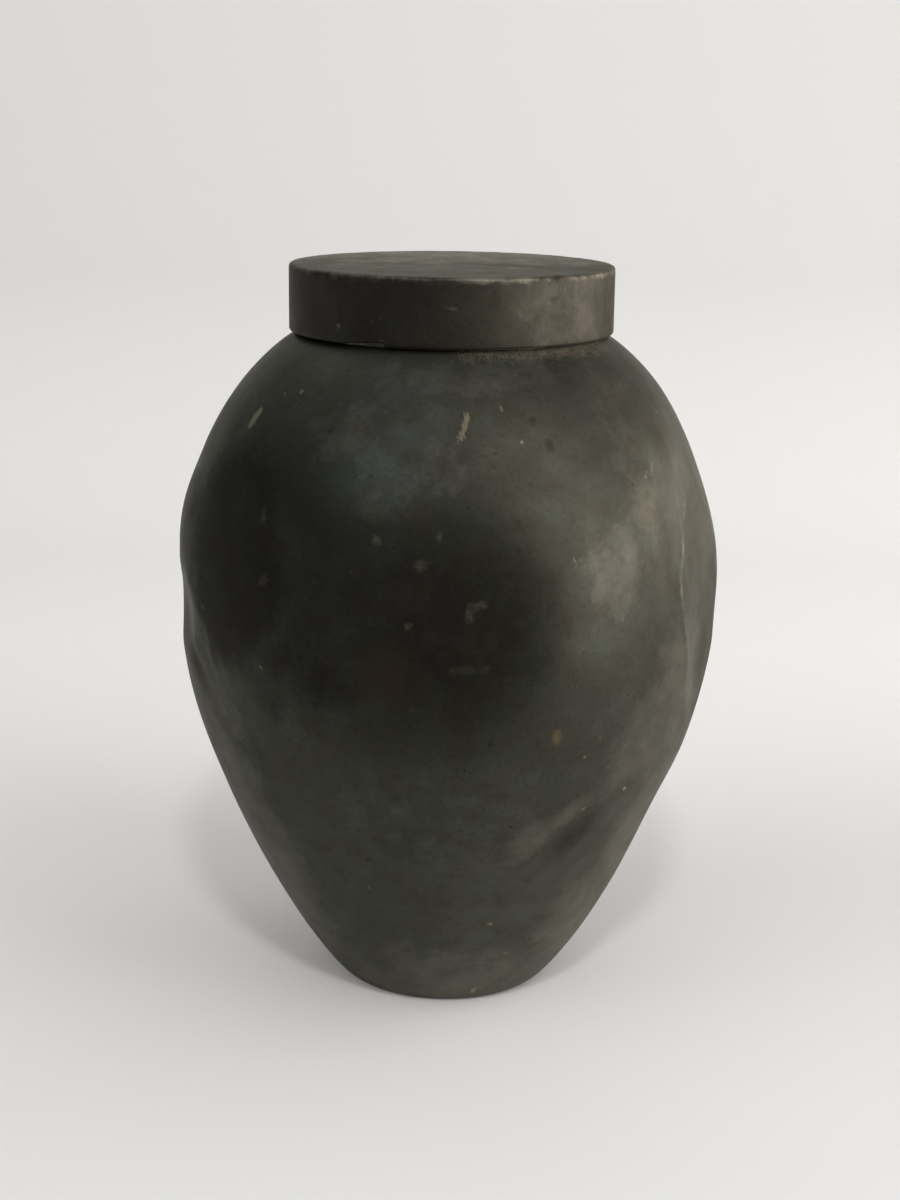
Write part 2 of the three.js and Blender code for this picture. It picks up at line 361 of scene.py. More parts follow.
# Stage: sizes in metres, and how the paper pales towards the back, as painted light, and dims up
# the wall
SHEET_FRONT = -0.2
SHEET_BACK = 1.1
SHEET_BEND = 0.5
SHEET_HEIGHT = 2.0
SHEET_WIDTH = 3.2
SHEET_PALE = -0.05, 0.45
SHEET_DIM = 0.15
PAPER_FRONT = "#e3e3e5"
PAPER_BACK = "#fafafb"
PAPER_WALL = "#e6e6e7"
SURROUND_RADIUS = 2.4
SURROUND_BEND = 0.9
SURROUND_HEIGHT = 2.6
SURROUND_DROP = 0.1 * MM

# Camera, fitted to the photograph
CAMERA_AT = 0.0007, -0.6285, 0.2916
CAMERA_PITCH = math.radians(14.54)
CAMERA_ROLL = math.radians(0.74)
PICTURE_HEIGHT_PX = 1200
FOCAL_LENGTH_PX = 1941
SENSOR = 36

# Lights, each a square that faces the girth of the jar: name, azimuth and elevation in degrees,
# size, watts and colour
LIGHT_DISTANCE = 1.5
JAR_LIGHTS = (
    ("low right", 64, 4, 1.0, 14, "#fff8f2"),
    ("right behind", 114, 3, 0.9, 16, "#fff3e8"),
    ("right high", 46, 38, 1.1, 11, "#fff9f2"),
    ("front left high", -30, 41, 0.7, 3, "#e8f6ff"),
    ("front top", 0, 63, 0.8, 1.7, "#fdfaff"),
    ("left top", -60, 68, 0.8, 0.9, "#dfe8ff"),
    ("left behind", -120, 58, 0.9, 2.2, "#f0f0ec"),
    ("behind high", 180, 52, 0.6, 1.6, "#f6f4e8"),
    ("behind low", 176, 24, 0.8, 3, "#fbf6ea"),
)
PAPER_LIGHTS = (
    ("paper front", 3, 47, 0.14, 5, "#fffdf8"),
    ("paper low front", 0, 24, 1.2, 4.2, "#fffdf8"),
    ("paper right", 60, 45, 0.8, 5, "#fffdf8"),
    ("paper right behind", 110, 25, 1.0, 6, "#fffdf8"),
    ("paper left", -70, 38, 1.0, 4, "#fffdf8"),
    ("paper back", 180, 65, 1.2, 1.2, "#fffdf8"),
    ("paper top", 0, 80, 1.6, 2.8, "#fffdf8"),
    ("wall right", 48, 10, 1.0, 10, "#fffdf8"),
    ("wall left", -52, 10, 1.0, 8, "#fffdf8"),
)
ROOM_LIGHT = 0.065


# Shapes


def cubic(start, start_handle, end_handle, end, step):
    """Points about one step apart along a cubic curve, as rows of (radius, height)."""
    t = np.linspace(0, 1, CURVE_SAMPLES)[:, None]
    start, start_handle, end_handle, end = map(np.array, (start, start_handle, end_handle, end))
    fine = (1 - t) ** 3 * start + 3 * (1 - t) ** 2 * t * start_handle
    fine = fine + 3 * (1 - t) * t ** 2 * end_handle + t ** 3 * end
    length = np.r_[0, np.cumsum(np.hypot(*np.diff(fine, axis=0).T))]
    even = np.linspace(0, length[-1], round(length[-1] / step) + 1)
    return np.column_stack([np.interp(even, length, column) for column in fine.T])


def curve_below(step):
    """Outline of the body from the foot up to the girth."""
    turn = FOOT_ROUND * math.cos(FOOT_ANGLE), FOOT_ROUND * math.sin(FOOT_ANGLE)
    return cubic(
        (FOOT_RADIUS, 0),
        (FOOT_RADIUS + turn[0], turn[1]),
        (GIRTH_RADIUS, GIRTH - FULLNESS_BELOW),
        (GIRTH_RADIUS, GIRTH),
        step,
    )


def curve_above(step):
    """Outline of the body from the girth up to the neck."""
    turn = MOUTH_ROUND * math.cos(MOUTH_ANGLE), MOUTH_ROUND * math.sin(MOUTH_ANGLE)
    return cubic(
        (GIRTH_RADIUS, GIRTH),
        (GIRTH_RADIUS, GIRTH + FULLNESS_ABOVE),
        (NECK_RADIUS + turn[0], MOUTH - turn[1]),
        (NECK_RADIUS, MOUTH),
        step,
    )


def inside_of(rows):
    """The inner face of a wall: the outline moved inwards, square to itself."""
    along = np.gradient(rows, axis=0)
    along /= np.hypot(along[:, 0], along[:, 1])[:, None]
    return rows + BODY_WALL * np.column_stack([-along[:, 1], along[:, 0]])


def arc(radius, height, size, start, end, steps=6):
    """An arc about a centre, as rows of (radius, height). Angles in degrees."""
    angle = np.radians(np.linspace(start, end, steps + 1))
    return np.column_stack([radius + size * np.cos(angle), height + size * np.sin(angle)])


def spot(azimuth, height, radius, turn, level, half_width, half_height, lean):
    """1 in the middle of an oval on a wall, 0 at its rim. Azimuths in degrees, the rest in mm."""
    along = np.radians((azimuth - turn + 180) % 360 - 180) * radius
    up = height - level
    cos, sin = math.cos(math.radians(lean)), math.sin(math.radians(lean))
    across = (along * cos + up * sin) / half_width
    over = (up * cos - along * sin) / half_height
    return np.clip(1 - across**2 - over**2, 0, None)


def straight(start, end, steps):
    """Evenly spaced points from one place to another."""
    share = np.linspace(0, 1, steps + 1)[:, None]
    return np.array(start) * (1 - share) + np.array(end) * share


# Trees


def add(tree, kind, inputs=None, **settings):
    """Adds a node to a tree. inputs are values, or other nodes' outputs, by the number of their
    socket or by its name, which is looked up among the sockets in use."""
    made = tree.nodes.new(kind)
    for key, value in settings.items():
        setattr(made, key, value)
    for key, value in (inputs or {}).items():
        named = [socket for socket in made.inputs if socket.name == key and socket.enabled]
        socket = made.inputs[key] if isinstance(key, int) else named[0]
        if isinstance(value, bpy.types.NodeSocket):
            tree.links.new(value, socket)
        else:
            socket.default_value = value
    return made


def out(tree, kind, inputs=None, **settings):
    """Adds a node and gives its first output."""
    return add(tree, kind, inputs, **settings).outputs[0]


def calc(tree, operation, *values):
    """A sum or other operation on values or sockets."""
    return out(tree, "ShaderNodeMath", dict(enumerate(values)), operation=operation)


def vector_calc(tree, operation, *values):
    """An operation on vectors. Its outputs are Vector and Value."""
    inputs = dict(enumerate(values))
    return add(tree, "ShaderNodeVectorMath", inputs, operation=operation).outputs


def axes(tree, vector):
    """The X, Y and Z of a vector."""
    return add(tree, "ShaderNodeSeparateXYZ", {0: vector}).outputs


# Geometry Nodes: one tree turns every piece, another scatters the crust


def node_group(name, inputs, outputs):
    """A tree with named inputs and outputs, as pairs of name and kind of socket."""
    tree = bpy.data.node_groups.new(name, "GeometryNodeTree")
    for in_out, sockets in (("INPUT", inputs), ("OUTPUT", outputs)):
        for label, kind in sockets:
            tree.interface.new_socket(label, in_out=in_out, socket_type=f"NodeSocket{kind}")
    return tree, add(tree, "NodeGroupInput").outputs


def dent_group():
    """Depth of one oval dent at a place on the wall: depth * max(0, 1 - x^2 - y^2)^crispness,
    where x and y are counted along the dent's own axes."""
    sizes = "Azimuth", "Height", "Turn", "Level", "Half width", "Half height"
    sizes += "Lean", "Depth", "Crispness"
    inputs = [(label, "Float") for label in sizes]
    tree, given = node_group("dent", inputs, [("Depth", "Float")])
    turn = calc(tree, "SUBTRACT", given["Azimuth"], given["Turn"])
    along = calc(tree, "MULTIPLY", calc(tree, "WRAP", turn, math.pi, -math.pi), GIRTH_RADIUS)
    up = calc(tree, "SUBTRACT", given["Height"], given["Level"])
    place = out(tree, "ShaderNodeCombineXYZ", {"X": along, "Y": up})
    back = calc(tree, "MULTIPLY", given["Lean"], -1.0)
    own = {"Vector": place, "Angle": back}
    own = out(tree, "ShaderNodeVectorRotate", own, rotation_type="Z_AXIS")
    size = {"X": given["Half width"], "Y": given["Half height"], "Z": 1.0}
    size = out(tree, "ShaderNodeCombineXYZ", size)
    share = vector_calc(tree, "DIVIDE", own, size)["Vector"]
    far = vector_calc(tree, "DOT_PRODUCT", share, share)["Value"]
    left = calc(tree, "MAXIMUM", calc(tree, "SUBTRACT", 1.0, far), 0.0)
    shape = calc(tree, "POWER", left, given["Crispness"])
    add(tree, "NodeGroupOutput", {"Depth": calc(tree, "MULTIPLY", shape, given["Depth"])})
    return tree


def turning_tree(name, dents):
    """Turns the points of a profile, at (radius, 0, height), about the axis into a closed skin.
    Each row of points keeps its own radius, less the depth of the dents at that place."""
    inputs = [
        ("Profile", "Geometry"), ("Around", "Int"), ("Closed", "Bool"),
        ("Inside from row", "Float"), ("Uneven depth", "Float"), ("Uneven length", "Float"),
        ("Outside material", "Material"), ("Inside material", "Material"),
    ]
    tree, given = node_group(name, inputs, [("Skin", "Geometry")])
    size = add(tree, "GeometryNodeAttributeDomainSize", {"Geometry": given["Profile"]})
    count = size.outputs["Point Count"]
    open_end = out(tree, "FunctionNodeBooleanMath", {0: given["Closed"]}, operation="NOT")
    steps = out(tree, "FunctionNodeIntegerMath", {0: count, 1: open_end}, operation="SUBTRACT")
    tube = {"Vertices": given["Around"], "Side Segments": steps, "Radius": 1.0, "Depth": 1.0}
    tube = add(tree, "GeometryNodeMeshCylinder", tube, fill_type="NONE").outputs["Mesh"]
    position = out(tree, "GeometryNodeInputPosition")
    here = axes(tree, position)
    row = calc(tree, "ROUND", calc(tree, "MULTIPLY", calc(tree, "ADD", here["Z"], 0.5), steps))
    tube = {"Geometry": tube, "Name": "row", "Value": row}
    tube = out(tree, "GeometryNodeStoreNamedAttribute", tube, data_type="FLOAT", domain="POINT")
    point = out(tree, "FunctionNodeIntegerMath", {0: row, 1: count}, operation="MODULO")
    profile = {"Geometry": given["Profile"], "Value": position, "Index": point}
    profile = out(tree, "GeometryNodeSampleIndex", profile, data_type="FLOAT_VECTOR")
    profile = axes(tree, profile)
    radius, height = profile["X"], profile["Z"]
    azimuth = calc(tree, "ARCTAN2", here["X"], calc(tree, "MULTIPLY", here["Y"], -1.0))
    place = at_radius(tree, here, radius, height)
    depth = unevenness(tree, given, place, height)
    turn, level = warped(tree, place, azimuth, height)
    for centre, middle, half_width, half_height, deep, lean, crispness in dents:
        sizes = {
            "Azimuth": turn, "Height": level, "Turn": math.radians(centre), "Level": middle,
            "Half width": half_width, "Half height": half_height, "Lean": math.radians(lean),
            "Depth": deep, "Crispness": crispness,
        }
        dent = out(tree, "GeometryNodeGroup", sizes, node_tree=DENT_GROUP)
        depth = calc(tree, "ADD", depth, dent)
    moved = at_radius(tree, here, calc(tree, "SUBTRACT", radius, depth), height)
    skin = out(tree, "GeometryNodeSetPosition", {"Geometry": tube, "Position": moved})
    skin = out(tree, "GeometryNodeMergeByDistance", {"Geometry": skin, "Distance": SAME_PLACE})
    its_row = out(tree, "GeometryNodeInputNamedAttribute", {"Name": "row"}, data_type="FLOAT")
    within = {"A": its_row, "B": given["Inside from row"]}
    within = out(tree, "FunctionNodeCompare", within, data_type="FLOAT", operation="GREATER_THAN")
    skin = out(tree, "GeometryNodeRealizeInstances", {"Geometry": skin})
    skin = {"Geometry": skin, "Material": given["Outside material"]}
    skin = out(tree, "GeometryNodeSetMaterial", skin)
    skin = {"Geometry": skin, "Selection": within, "Material": given["Inside material"]}
    skin = out(tree, "GeometryNodeSetMaterial", skin)
    add(tree, "NodeGroupOutput", {"Skin": skin})
    return tree


def at_radius(tree, circle, radius, height):
    """A place at some radius and height, at the azimuth of a point of the unit circle."""
    x, y = (calc(tree, "MULTIPLY", circle[axis], radius) for axis in "XY")
    return out(tree, "ShaderNodeCombineXYZ", {"X": x, "Y": y, "Z": height})


def warped(tree, place, azimuth, height):
    """The azimuth and height shifted a little by noise, so that no dent has an even outline."""
    shift = {"Vector": place, "Scale": 1 / WARP_LENGTH, "Detail": 2.0}
    shift = add(tree, "ShaderNodeTexNoise", shift).outputs["Color"]
    shift = axes(tree, vector_calc(tree, "SUBTRACT", shift, [0.5] * 3)["Vector"])
    turn = calc(tree, "MULTIPLY_ADD", shift["X"], WARP_DEPTH / GIRTH_RADIUS, azimuth)
    return turn, calc(tree, "MULTIPLY_ADD", shift["Y"], WARP_DEPTH, height)


def unevenness(tree, given, place, height):
    """Slow waves of a wall turned by hand, which fade out towards the foot and the mouth."""
    scale = calc(tree, "DIVIDE", 1.0, given["Uneven length"])
    slow = out(tree, "ShaderNodeTexNoise", {"Vector": place, "Scale": scale, "Detail": 1.0})
    scale = calc(tree, "MULTIPLY", scale, UNEVEN_LENGTH / HAMMER_LENGTH)
    fine = out(tree, "ShaderNodeTexNoise", {"Vector": place, "Scale": scale, "Detail": 2.0})
    waves = calc(tree, "MULTIPLY_ADD", fine, HAMMER_DEPTH / UNEVEN_DEPTH, slow)
    from_foot = calc(tree, "DIVIDE", height, SEAT_MARGIN)
    from_mouth = calc(tree, "DIVIDE", calc(tree, "SUBTRACT", MOUTH, height), SEAT_MARGIN)
    fade = calc(tree, "MAXIMUM", calc(tree, "MINIMUM", from_foot, from_mouth), 0.0)
    fade = calc(tree, "MINIMUM", fade, 1.0)
    return calc(tree, "MULTIPLY", calc(tree, "MULTIPLY", waves, fade), given["Uneven depth"])


def crust_tree():
    """Scatters angular grains of different sizes over a strip of the shoulder."""
    inputs = [
        ("Strip", "Geometry"), ("Grains per square metre", "Float"), ("Grain radius", "Float"),
        ("Seed", "Int"), ("Material", "Material"),
    ]
    tree, given = node_group("crust_grains", inputs, [("Grains", "Geometry")])
    seed = given["Seed"]
    points = {"Mesh": given["Strip"], "Density": given["Grains per square metre"], "Seed": seed}
    points = add(tree, "GeometryNodeDistributePointsOnFaces", points).outputs["Points"]
    grain = {"Radius": given["Grain radius"], "Subdivisions": 2}
    grain = add(tree, "GeometryNodeMeshIcoSphere", grain).outputs["Mesh"]
    sizes = {"Min": CRUST_GRAIN_LEAST, "Max": CRUST_GRAIN_MOST, "Seed": seed}
    sizes = out(tree, "FunctionNodeRandomValue", sizes, data_type="FLOAT_VECTOR")
    turns = {"Min": [0.0] * 3, "Max": [math.tau] * 3, "Seed": seed}
    turns = out(tree, "FunctionNodeRandomValue", turns, data_type="FLOAT_VECTOR")
    grains = {"Points": points, "Instance": grain, "Rotation": turns, "Scale": sizes}
    grains = out(tree, "GeometryNodeInstanceOnPoints", grains)
    grains = out(tree, "GeometryNodeRealizeInstances", {"Geometry": grains})
    grains = {"Geometry": grains, "Material": given["Material"]}
    grains = out(tree, "GeometryNodeSetMaterial", grains)
    add(tree, "NodeGroupOutput", {"Grains": grains})
    return tree


def set_input(modifier, name, value):
    """Sets one of a tree's named inputs on the modifier that runs it."""
    for item in modifier.node_group.interface.items_tree:
        if item.name == name and item.in_out == "INPUT":
            modifier[item.identifier] = value


def grown(source, tree, values, name, angle=40):
    """Runs a tree on an object and keeps the result as a plain mesh of that name, with smooth
    shading that breaks at sharp edges."""
    modifier = source.modifiers.new(tree.name, "NODES")
    modifier.node_group = tree
    for label, value in values.items():
        set_input(modifier, label, value)
    graph = bpy.context.evaluated_depsgraph_get()
    mesh = bpy.data.meshes.new_from_object(source.evaluated_get(graph), depsgraph=graph)
    source.modifiers.remove(modifier)
    bpy.data.objects.remove(source)
    mesh.name = name
    return smooth(mesh, name, angle)


def linked(name, data):
    """A new object in the scene."""
    made = bpy.data.objects.new(name, data)
    bpy.context.scene.collection.objects.link(made)
    return made


def bare_mesh(name, points, faces=()):
    """A mesh of points, with or without faces."""
    mesh = bpy.data.meshes.new(name)
    mesh.from_pydata(points, [], faces)
    return mesh


def smooth(mesh, name, angle=40):
    """An object of a mesh, shaded smooth but for edges sharper than angle, in degrees."""
    mesh.polygons.foreach_set("use_smooth", [True] * len(mesh.polygons))
    mesh.set_sharp_from_angle(angle=math.radians(angle))
    return linked(name, mesh)


def turned(
    name, rows, material, inside=None, inside_from=None,
    around=AROUND, closed=True, dents=(), uneven=0.0,
):
    """Turns rows of (radius, height) about the axis. They run anticlockwise, seen with the radius
    to the right and the height up, and close on themselves or start and end on the axis. Faces
    past the row inside_from have the inside material."""
    rows = np.array(rows, float)
    points = np.column_stack([rows[:, 0], np.zeros(len(rows)), rows[:, 1]])
    profile = linked("profile", bare_mesh("profile", points.tolist()))
    values = {
        "Around": around, "Closed": closed, "Uneven depth": uneven, "Uneven length": UNEVEN_LENGTH,
        "Inside from row": float(len(rows) if inside_from is None else inside_from),
        "Outside material": material, "Inside material": inside or material,
    }
    return grown(profile, turning_tree(f"turned_{name}", dents), values, name)


def mark_values(kind, marks, azimuth, height, radius):
    """Strength from 0 to 1 of one kind of mark on a wall. azimuth in degrees, height in mm."""
    value = np.zeros(len(azimuth))
    for its_kind, turn, level, width, length, lean, strength in marks:
        if its_kind == kind:
            oval = spot(azimuth, height, radius, turn, level, width / 2, length / 2, -lean)
            value = np.maximum(value, strength * oval)
    return value


def dust_values(azimuth, height):
    """Crust that has settled on the shoulder under the lid's front right edge."""
    middle, half = (DUST_FROM + DUST_TO) / 2, (DUST_TO - DUST_FROM) / 2
    turn = np.abs((azimuth - middle + 180) % 360 - 180) / half
    depth = (MOUTH / MM - height) / DUST_DEPTH
    return np.clip(1 - turn**4, 0, 1) * np.clip(1 - depth, 0, 1)


def places(piece):
    """Azimuth in degrees, radius and height in mm of each point of a piece."""
    co = np.zeros(len(piece.data.vertices) * 3)
    piece.data.vertices.foreach_get("co", co)
    x, y, height = co.reshape(-1, 3).T / MM
    return np.degrees(np.arctan2(x, -y)), np.hypot(x, y), height


def write_marks(piece, marks, radius):
    """Keeps each kind of mark as a value on the points of a piece, for its material."""
    azimuth, _, height = places(piece)
    for kind in MARK_KINDS:
        put_attribute(piece, kind, mark_values(kind, marks, azimuth, height, radius / MM))


def put_attribute(piece, name, values):
    """Keeps one value for each point of a piece, under a name that a material reads."""
    attribute = piece.data.attributes.new(name, "FLOAT", "POINT")
    attribute.data.foreach_set("value", np.asarray(values, np.float32).ravel())


# Materials


def srgb(text):
    """A colour written as #rrggbb, as linear red, green, blue and alpha."""
    parts = [int(text[i : i + 2], 16) / 255 for i in (1, 3, 5)]
    return [p / 12.92 if p <= 0.04045 else ((p + 0.055) / 1.055) ** 2.4 for p in parts] + [1]


def new_material(name):
    """An empty material with its tree, and the surface coordinates that its patterns follow."""
    material = bpy.data.materials.new(name)
    material.use_nodes = True
    tree = material.node_tree
    tree.nodes.clear()
    where = add(tree, "ShaderNodeTexCoord").outputs["Object"]
    return material, tree, where


def surfaced(material, tree, shader):
    """Ends a material in a Principled shader with these inputs."""
    surface = out(tree, "ShaderNodeBsdfPrincipled", shader)
    add(tree, "ShaderNodeOutputMaterial", {"Surface": surface})
    return material


def spread(tree, value, low, high, curve="LINEAR"):
    """A value between low and high, stretched to the range from 0 to 1 and kept within it."""
    inputs = {"Value": value, "From Min": low, "From Max": high}
    return out(tree, "ShaderNodeMapRange", inputs, clamp=True, interpolation_type=curve)


def cloud(tree, where, length, detail=4, roughness=0.55, low=0.35, high=0.65):
    """Noise with features of about length, in metres, spread to the full range from 0 to 1."""
    scaled = vector_calc(tree, "MULTIPLY", where, [1 / length] * 3)["Vector"]
    pattern = {"Vector": scaled, "Scale": 1.0, "Detail": detail, "Roughness": roughness}
    pattern = add(tree, "ShaderNodeTexNoise", pattern).outputs["Fac"]
    return spread(tree, pattern, low, high)


def blend_colours(tree, amount, first, second):
    """The first colour where amount is 0, the second where it is 1."""
    return add(tree, "ShaderNodeMix", {0: amount, 6: first, 7: second}, data_type="RGBA").outputs[2]


def flecks(tree, where, spacing, size, scarcity):
    """Sparse specks with ragged rims. spacing is in metres and size is a share of it."""
    bent = {"Vector": where, "Scale": 1 / FLECK_BEND_LENGTH, "Detail": 3.0}
    bent = add(tree, "ShaderNodeTexNoise", bent).outputs["Color"]
    bent = vector_calc(tree, "MULTIPLY_ADD", bent, [FLECK_BEND] * 3, where)["Vector"]
    cells = add(tree, "ShaderNodeTexVoronoi", {"Vector": bent, "Scale": 1 / spacing}).outputs
    chance = add(tree, "ShaderNodeSeparateColor", {"Color": cells["Color"]}).outputs["Red"]
    reach = calc(tree, "SUBTRACT", chance, scarcity)
    reach = calc(tree, "MULTIPLY", reach, size / (1 - scarcity))
    return calc(tree, "MULTIPLY", calc(tree, "LESS_THAN", cells["Distance"], reach), FLECK_STRENGTH)


def patinated_tin(name, dark, light, brown, roughness):
    """Cast and turned tin under an old patina: a dark satin skin, mottled olive grey and brown,
    that shows a broad soft reflection of the room, with paler rubbed places and fine specks."""
    material, tree, where = new_material(name)
    broad = cloud(tree, where, 48 * MM, detail=3, low=0.36, high=0.64)
    mottle = cloud(tree, where, 10 * MM, detail=7, roughness=0.62, low=0.3, high=0.7)
    speckle = cloud(tree, where, 1.5 * MM, detail=4, roughness=0.7, low=0.5, high=0.74)
    pale = cloud(tree, where, 3.2 * MM, detail=6, roughness=0.75, low=0.6, high=0.8)
    base = blend_colours(tree, broad, srgb(dark), srgb(light))
    base = blend_colours(tree, calc(tree, "MULTIPLY", mottle, MOTTLED), base, srgb(brown))
    speckled = calc(tree, "MULTIPLY", speckle, SPECKLED)
    base = blend_colours(tree, speckled, base, srgb(SPECKLE_COLOUR))
    rubbed = calc(tree, "MULTIPLY", pale, RUBBED)
    base = blend_colours(tree, rubbed, base, srgb(RUBBED_COLOUR))
    for *sizes, colour in FLECKS:
        base = blend_colours(tree, flecks(tree, where, *sizes), base, srgb(colour))
    rough = calc(tree, "MULTIPLY_ADD", mottle, MOTTLE_ROUGHER, roughness)
    rough = calc(tree, "MULTIPLY_ADD", pale, RUBBED_ROUGHER, rough)
    base, rough, dull, gloss = marked(tree, where, base, rough)
    metallic = calc(tree, "MULTIPLY", calc(tree, "SUBTRACT", 1.0, dull), PATINA_METAL)
    height = calc(tree, "MULTIPLY", speckle, SPECKLE_RAISED)
    height = calc(tree, "MULTIPLY_ADD", mottle, MOTTLE_RAISED, height)
    height = calc(tree, "MULTIPLY_ADD", dull, DULL_RAISED, height)
    raised = {"Strength": RELIEF, "Distance": RELIEF_DEPTH, "Height": height}
    shader = {
        "Base Color": base, "Metallic": metallic, "Roughness": rough,
        "Normal": out(tree, "ShaderNodeBump", raised),
        "Specular IOR Level": gloss, "Specular Tint": srgb(PATINA_TINT),
        "Sheen Weight": BLOOM, "Sheen Roughness": BLOOM_ROUGHNESS,
        "Sheen Tint": srgb(BLOOM_COLOUR),
    }
    return surfaced(material, tree, shader)


def marked(tree, where, base, rough):
    """Lays the marks over a patina, each with a ragged rim: the tin's own marks, and painted shade
    and painted highlights. dull is where they aren't metal.
    """
    ragged = cloud(tree, where, 2.6 * MM, detail=7, roughness=0.72, low=0.3, high=0.7)
    broken = cloud(tree, where, 11 * MM, detail=6, roughness=0.6, low=0.34, high=0.66)
    layers = {}
    for kind, large, small, start, full, strength, colour in MARK_LAYERS:
        value = add(tree, "ShaderNodeAttribute", attribute_name=kind).outputs["Fac"]
        present = calc(tree, "GREATER_THAN", value, 0.001)
        ragging = calc(tree, "MULTIPLY_ADD", broken, large, calc(tree, "MULTIPLY", ragged, small))
        value = calc(tree, "MULTIPLY_ADD", present, ragging, value)
        layers[kind] = calc(tree, "MULTIPLY", spread(tree, value, start, full), strength)
        base = blend_colours(tree, layers[kind], base, srgb(colour))
    dull = calc(tree, "MAXIMUM", layers["chip"], layers["dust"])
    rough = calc(tree, "MULTIPLY_ADD", dull, DULL_ROUGHER, rough)
    rough = calc(tree, "MULTIPLY_ADD", layers["dark"], DARK_ROUGHER, rough)
    rough = calc(tree, "MULTIPLY_ADD", layers["wear_and_highlight"], WORN_ROUGHER, rough)
    gloss = calc(tree, "MULTIPLY_ADD", layers["dark"], DARK_GLOSS, GLOSS)
    return base, rough, dull, gloss


def turned_tin(name, colour, shade, roughness):
    """Tin kept clean under the lid: paler and smoother, with the fine rings of the turning tool."""
    material, tree, where = new_material(name)
    apart = axes(tree, where)
    flat = out(tree, "ShaderNodeCombineXYZ", {"X": apart["X"], "Y": apart["Y"]})
    radius = vector_calc(tree, "LENGTH", flat)["Value"]
    rings = out(tree, "ShaderNodeCombineXYZ", {"X": radius, "Z": apart["Z"]})
    rings = cloud(tree, rings, 0.6 * MM, detail=2, low=0.3, high=0.7)
    tarnish = cloud(tree, where, 14 * MM, detail=6, roughness=0.6)
    raised = {"Strength": 0.3, "Distance": 0.03 * MM, "Height": rings}
    shader = {
        "Base Color": blend_colours(tree, tarnish, srgb(colour), srgb(shade)),
        "Metallic": 0.97,
        "Roughness": calc(tree, "MULTIPLY_ADD", tarnish, 0.15, roughness),
        "Normal": out(tree, "ShaderNodeBump", raised),
    }
    return surfaced(material, tree, shader)


def mineral_crust():
    """Dried scale that has gathered under the lid: a matt, pale brown grit."""
    material, tree, where = new_material("mineral_crust")
    tone = cloud(tree, where, 0.8 * MM, detail=3)
    base = blend_colours(tree, tone, srgb("#5c5346"), srgb("#8a8070"))
    return surfaced(material, tree, {"Base Color": base, "Roughness": 0.9})


def floor_paper():
    """Plain matt studio paper, which pales a little towards the back as painted light, and dims up
    the wall.
    """
    material, tree, where = new_material("studio_paper")
    place = axes(tree, where)
    # Painted light: the paper pales towards the back, standing in for more light on the floor
    # behind the jar.
    back = spread(tree, place["Y"], *SHEET_PALE, "SMOOTHSTEP")
    base = blend_colours(tree, back, srgb(PAPER_FRONT), srgb(PAPER_BACK))
    up = spread(tree, place["Z"], 0.0, SHEET_DIM)
    base = blend_colours(tree, up, base, srgb(PAPER_WALL))
    return surfaced(material, tree, {"Base Color": base, "Roughness": 0.9})


# Pieces


def finish_piece(piece, body, node):
    """Says which body a piece rides on, and hides the solid it stands for."""
    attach(piece, body)
    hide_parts(node)


def body_lower(outside_tin, inside_tin):
    """Lower half of the body, with the flange round its foot."""
    outside = curve_below(FINE_STEP)
    inside = inside_of(curve_below(COARSE_STEP))[::-1]
    inside[0] = GIRTH_RADIUS - BODY_WALL, GIRTH
    bore = FOOT_RADIUS - FOOT_RIM_WIDTH
    rows = np.vstack([outside, inside, [(bore, inside[-1, 1]), (bore, 0)]])
    piece = turned(
        "body_lower", rows, outside_tin, inside_tin, len(outside),
        dents=body_dents(), uneven=UNEVEN_DEPTH,
    )
    write_marks(piece, BODY_MARKS, GIRTH_RADIUS)
    finish_piece(piece, "jar", "jar_lower")


def body_upper(outside_tin, inside_tin):
    """Upper half of the body, from the girth over the shoulder to the seat of the neck."""
    outside = curve_above(FINE_STEP)
    inside = inside_of(curve_above(COARSE_STEP))[::-1][1:]
    inside[-1] = GIRTH_RADIUS - BODY_WALL, GIRTH
    bore = NECK_RADIUS - NECK_WALL
    rows = np.vstack([outside, [(bore, MOUTH), (bore, inside[0, 1])], inside])
    piece = turned(
        "body_upper", rows, outside_tin, inside_tin, len(outside),
        dents=body_dents(), uneven=UNEVEN_DEPTH,
    )
    write_marks(piece, BODY_MARKS, GIRTH_RADIUS)
    azimuth, _, height = places(piece)
    put_attribute(piece, "dust", dust_values(azimuth, height))
    finish_piece(piece, "jar", "jar_upper")


def body_dents():
    """The dents as the turning tree takes them: heights from the foot, and metres."""
    for _, turn, rise, half_width, half_height, depth, lean, crispness in DENTS:
        sizes = half_width * MM, half_height * MM, depth * MM
        yield turn, GIRTH + rise * MM, *sizes, lean, crispness


def floor_disc(tin):
    """Disc that closes the foot, let in above the flange."""
    rows = [
        (0, FLOOR_DISC_BOTTOM),
        (FLOOR_DISC_RADIUS, FLOOR_DISC_BOTTOM),
        (FLOOR_DISC_RADIUS, FLOOR_DISC_TOP),
        (0, FLOOR_DISC_TOP),
    ]
    piece = turned("floor_disc", rows, tin, around=AROUND_SMALL, closed=False)
    finish_piece(piece, "jar", "base_plate")


def neck(tin):
    """Upright collar on the mouth, with a rounded rim."""
    edge = NECK_EDGE
    bore = NECK_RADIUS - NECK_WALL
    rows = np.vstack([
        [(bore, MOUTH), (NECK_RADIUS, MOUTH)],
        arc(NECK_RADIUS - edge, RIM - edge, edge, 0, 90),
        arc(bore + edge, RIM - edge, edge, 90, 180),
    ])
    piece = turned("neck", rows, tin, around=AROUND_SMALL)
    finish_piece(piece, "jar", "neck_ring")


